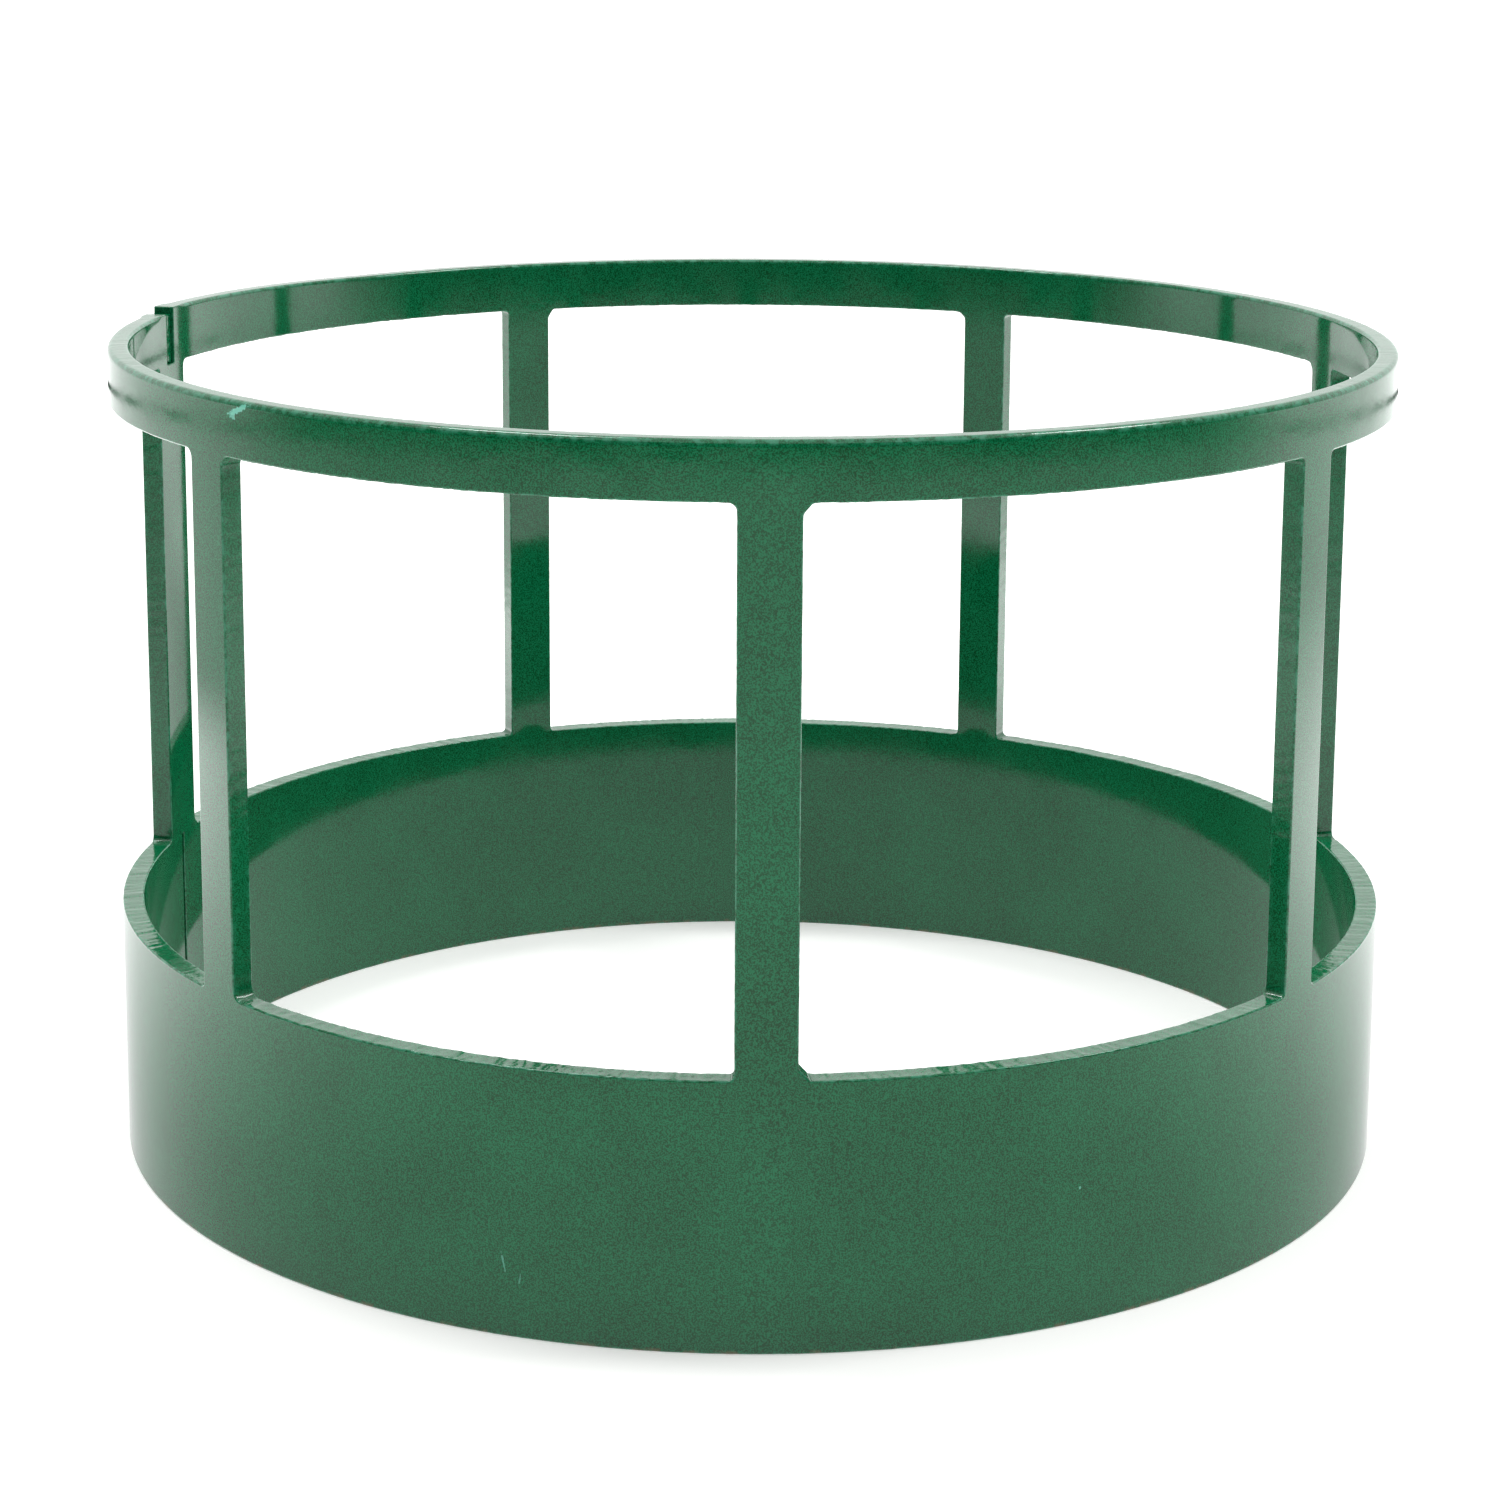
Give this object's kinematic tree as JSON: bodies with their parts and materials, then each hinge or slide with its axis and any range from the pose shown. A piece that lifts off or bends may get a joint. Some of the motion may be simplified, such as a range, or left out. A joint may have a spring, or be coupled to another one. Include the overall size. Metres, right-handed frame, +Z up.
{
  "type": "hay ring feeder",
  "caption": "Round hay ring feeder, model size: a deep closed skirt, flat upright posts and a narrow top hoop in painted steel, open at the top and bottom.",
  "frame": {"origin": "on the ring's axis, at ground level under the skirt", "axes": "+Z up along the ring's axis; the front post is at -Y, and the strip seam is on the left at -X, a little to the rear"},
  "size_m": [0.12, 0.12, 0.0765],
  "materials": {
    "green_paint": "glossy mid green paint with a fine grain and light orange peel, thicker and rounder on the edges, over 2 mm steel sheet",
    "weld_paint": "the same green paint, pooled over small dressed welds"
  },
  "bodies": {
    "root": {"top_hoop": "green_paint", "base_skirt": "green_paint", "hoop_seam_weld": "weld_paint", "skirt_seam_weld": "weld_paint", "post_front": "green_paint", "post_front_right": "green_paint", "post_right": "green_paint", "post_rear_right": "green_paint", "post_rear_left": "green_paint", "post_seam": "green_paint", "post_front_left": "green_paint", "hoop_weld_front": "weld_paint", "hoop_weld_front_right": "weld_paint", "hoop_weld_right": "weld_paint", "hoop_weld_rear_right": "weld_paint", "hoop_weld_rear_left": "weld_paint", "hoop_weld_seam": "weld_paint", "hoop_weld_front_left": "weld_paint", "skirt_weld_front": "weld_paint", "skirt_weld_front_right": "weld_paint", "skirt_weld_right": "weld_paint", "skirt_weld_rear_right": "weld_paint", "skirt_weld_rear_left": "weld_paint", "skirt_weld_seam": "weld_paint", "skirt_weld_front_left": "weld_paint"}
  },
  "joints": []
}
